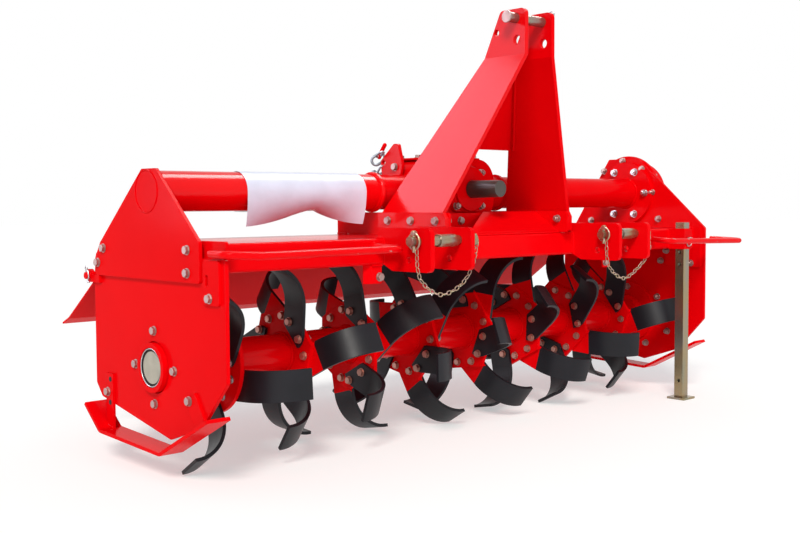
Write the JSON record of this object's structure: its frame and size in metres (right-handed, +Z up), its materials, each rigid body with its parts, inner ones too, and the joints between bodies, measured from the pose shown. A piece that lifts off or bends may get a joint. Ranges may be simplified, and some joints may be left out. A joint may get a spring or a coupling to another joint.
{
  "type": "rotary tiller for a three-point linkage",
  "caption": "Red tractor-mounted rotary tiller with side gear drive, C-shaped blades, skids, hinged rear board and parking stand.",
  "frame": {"origin": "end of the PTO input shaft, on its axis", "axes": "+X across the machine, to the right as seen from the tractor side, where the gear case is; +Y to the rear; +Z up"},
  "size_m": [1.8946, 0.8478, 1.0468],
  "materials": {
    "red_paint": "glossy",
    "black_paint": "satin",
    "zinc": "satin",
    "bright_steel": "satin",
    "white_film": "satin",
    "black_plastic": "matte"
  },
  "bodies": {
    "frame": {"side_plate_left": "red_paint", "gusset_left": "red_paint", "side_plate_right": "red_paint", "gear_case": "red_paint", "front_beam": "red_paint", "main_tube_left": "red_paint", "main_tube_right": "red_paint", "gearbox": "red_paint", "cradle_left": "red_paint", "cradle_right": "red_paint", "mast_left": "red_paint", "mast_right": "red_paint", "mast_back": "red_paint", "top_pin": "zinc", "hitch_clevis_left": "red_paint", "hitch_clevis_right": "red_paint", "hitch_pin_left": "zinc", "hitch_pin_right": "zinc", "guard_left": "red_paint", "guard_right": "red_paint", "stand_sleeve": "red_paint", "skid_left": "red_paint", "skid_right": "red_paint", "bearing_left": "red_paint", "bearing_right": "red_paint", "hood": "red_paint", "hinge_rod": "red_paint", "chain_bracket": "red_paint", "corner_tab": "red_paint", "beam_lugs": "red_paint", "tube_wrap": "white_film", "input_brace": "red_paint", "lynch_pins": "zinc", "pin_chain_left": "zinc", "pin_chain_right": "zinc", "board_chain": "bright_steel"},
    "rotor": {"rotor_shaft": "red_paint", "hub_disc": "bright_steel", "blade_ring_1": "black_paint", "blade_ring_2": "black_paint", "blade_ring_3": "black_paint", "blade_ring_4": "black_paint", "blade_ring_5": "black_paint", "blade_ring_6": "black_paint", "blade_ring_7": "black_paint", "blade_ring_8": "black_paint"},
    "pto": {"pto_shaft": "bright_steel", "pto_cap": "black_plastic"},
    "board": {"rear_board": "red_paint"},
    "stand": {"stand_leg": "zinc"}
  },
  "joints": [
    {"name": "rotor_spin", "type": "hinge", "parent": "frame", "child": "rotor", "pos_m": [0, 0.216, -0.384], "axis": [1, 0, 0], "continuous": true},
    {"name": "pto_spin", "type": "hinge", "parent": "frame", "child": "pto", "pos_m": [0, 0, 0], "axis": [0, -1, 0], "continuous": true},
    {"name": "board_hinge", "type": "hinge", "parent": "frame", "child": "board", "pos_m": [0, 0.488, -0.198], "axis": [1, 0, 0], "range_deg": [0, 60], "deforming": ["board_chain"]},
    {"name": "stand_slide", "type": "slide", "parent": "frame", "child": "stand", "axis": [0, 0, 1], "range_m": [0, 0.42]}
  ],
  "couplings": [
    {"joint": "pto_spin", "follows": "rotor_spin", "ratio": 2.45}
  ]
}
